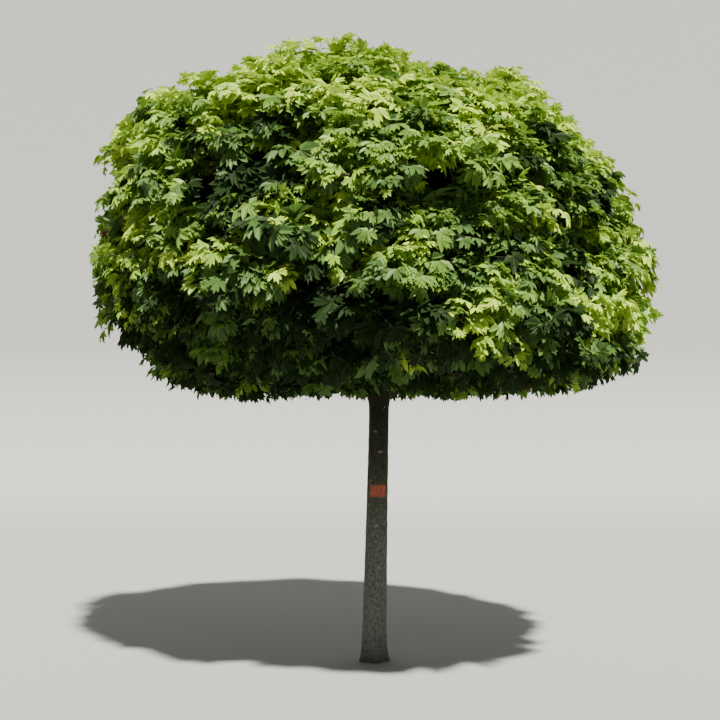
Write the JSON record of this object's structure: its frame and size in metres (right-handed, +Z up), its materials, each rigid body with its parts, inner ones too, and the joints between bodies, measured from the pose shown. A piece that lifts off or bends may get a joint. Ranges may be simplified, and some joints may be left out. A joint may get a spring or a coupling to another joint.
{
  "type": "norway maple",
  "caption": "Norway maple with a clear straight stem and a dense round crown grafted on top, in summer leaf, cut flat at ground level.",
  "frame": {"origin": "middle of the flat cut under the trunk, at ground level", "axes": "+Z up the trunk, -Y towards the front of the tree as pictured, +X to its right"},
  "size_m": [4.0639, 3.9841, 4.2878],
  "materials": {
    "bark": "matt grey-brown bark with fine fissures",
    "leaves_top": "satin leaves, fresh yellow-green",
    "leaves_upper": "satin leaves, light green",
    "leaves_middle": "satin leaves, mid green",
    "leaves_lower": "satin leaves, deep green"
  },
  "bodies": {
    "root": {"trunk": "bark", "bough_top": "bark", "bough_middle_1": "bark", "bough_middle_2": "bark", "bough_middle_3": "bark", "bough_middle_4": "bark", "bough_middle_5": "bark", "bough_middle_6": "bark", "bough_middle_7": "bark", "bough_middle_8": "bark", "bough_lower_1": "bark", "bough_lower_2": "bark", "bough_lower_3": "bark", "bough_lower_4": "bark", "bough_lower_5": "bark", "bough_lower_6": "bark", "bough_lower_7": "bark", "bough_lower_8": "bark", "bough_upper_1": "bark", "bough_upper_2": "bark", "bough_upper_3": "bark", "bough_upper_4": "bark", "bough_upper_5": "bark", "bough_upper_6": "bark", "foliage_top": "leaves_top", "foliage_middle_1": "leaves_middle", "foliage_middle_2": "leaves_middle", "foliage_middle_3": "leaves_middle", "foliage_middle_4": "leaves_middle", "foliage_middle_5": "leaves_middle", "foliage_middle_6": "leaves_middle", "foliage_middle_7": "leaves_middle", "foliage_middle_8": "leaves_middle", "foliage_lower_1": "leaves_lower", "foliage_lower_2": "leaves_lower", "foliage_lower_3": "leaves_lower", "foliage_lower_4": "leaves_lower", "foliage_lower_5": "leaves_lower", "foliage_lower_6": "leaves_lower", "foliage_lower_7": "leaves_lower", "foliage_lower_8": "leaves_lower", "foliage_upper_1": "leaves_upper", "foliage_upper_2": "leaves_upper", "foliage_upper_3": "leaves_upper", "foliage_upper_4": "leaves_upper", "foliage_upper_5": "leaves_upper", "foliage_upper_6": "leaves_upper"}
  },
  "joints": []
}
